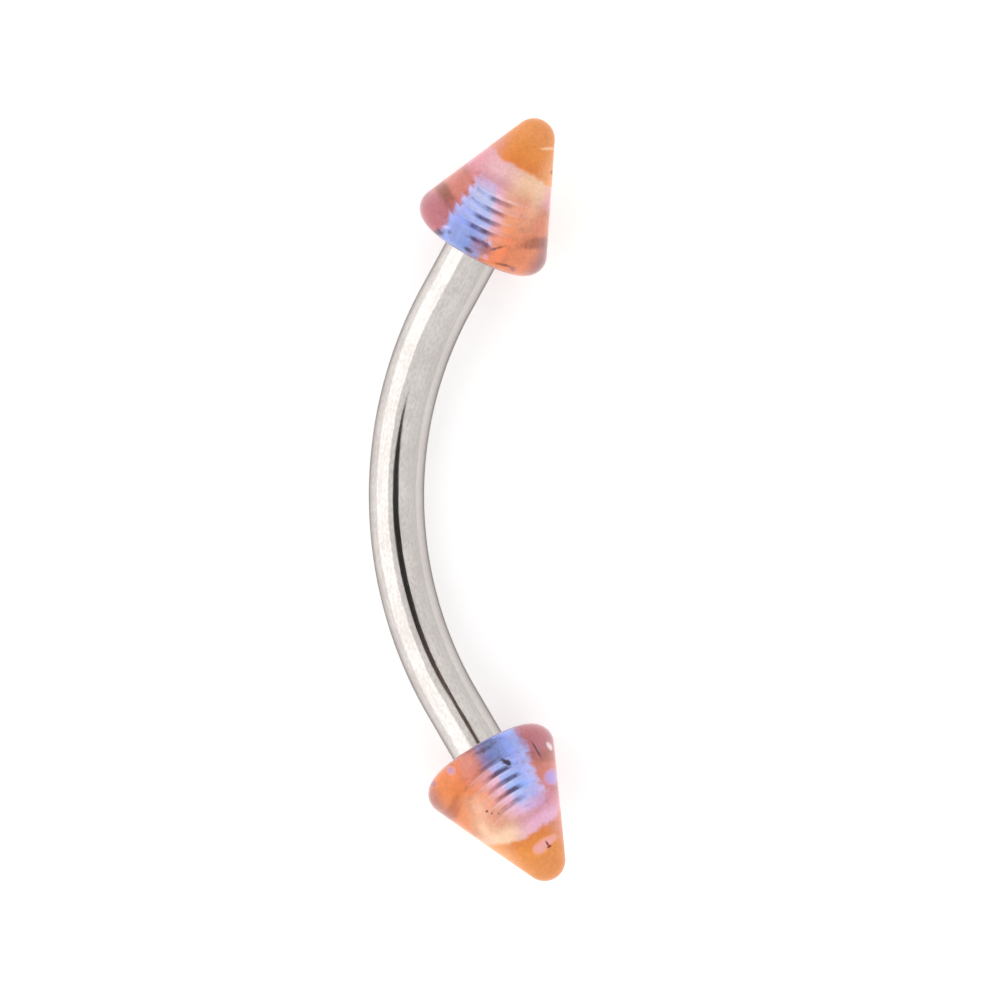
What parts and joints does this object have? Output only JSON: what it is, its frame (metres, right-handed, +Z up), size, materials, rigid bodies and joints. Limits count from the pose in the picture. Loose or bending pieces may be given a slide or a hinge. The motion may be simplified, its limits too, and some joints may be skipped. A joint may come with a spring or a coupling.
{
  "type": "curved eyebrow barbell",
  "caption": "Curved steel barbell for an eyebrow piercing, with a pointed marbled acrylic tip screwed onto a threaded post at each end.",
  "frame": {"origin": "on the surface that the barbell rests on, under the middle of its bounding box", "axes": "+Z up from the surface, +Y along the barbell's length towards the upper tip, +X towards the open side of the bend"},
  "size_m": [0.0042, 0.0164, 0.0029],
  "materials": {
    "polished_steel": "mirror polished surgical steel",
    "marbled_acrylic": "clear acrylic with swirls of orange, pink and blue, polished"
  },
  "bodies": {
    "bar": {"bar": "polished_steel"},
    "upper_tip": {"upper_tip": "marbled_acrylic"},
    "lower_tip": {"lower_tip": "marbled_acrylic"}
  },
  "joints": [
    {"name": "upper_tip_off", "type": "slide", "parent": "bar", "child": "upper_tip", "axis": [0.4837, 0.848, 0.2164], "range_m": [0, 0.0025]},
    {"name": "lower_tip_off", "type": "slide", "parent": "bar", "child": "lower_tip", "axis": [0.4837, -0.848, 0.2164], "range_m": [0, 0.0025]}
  ]
}
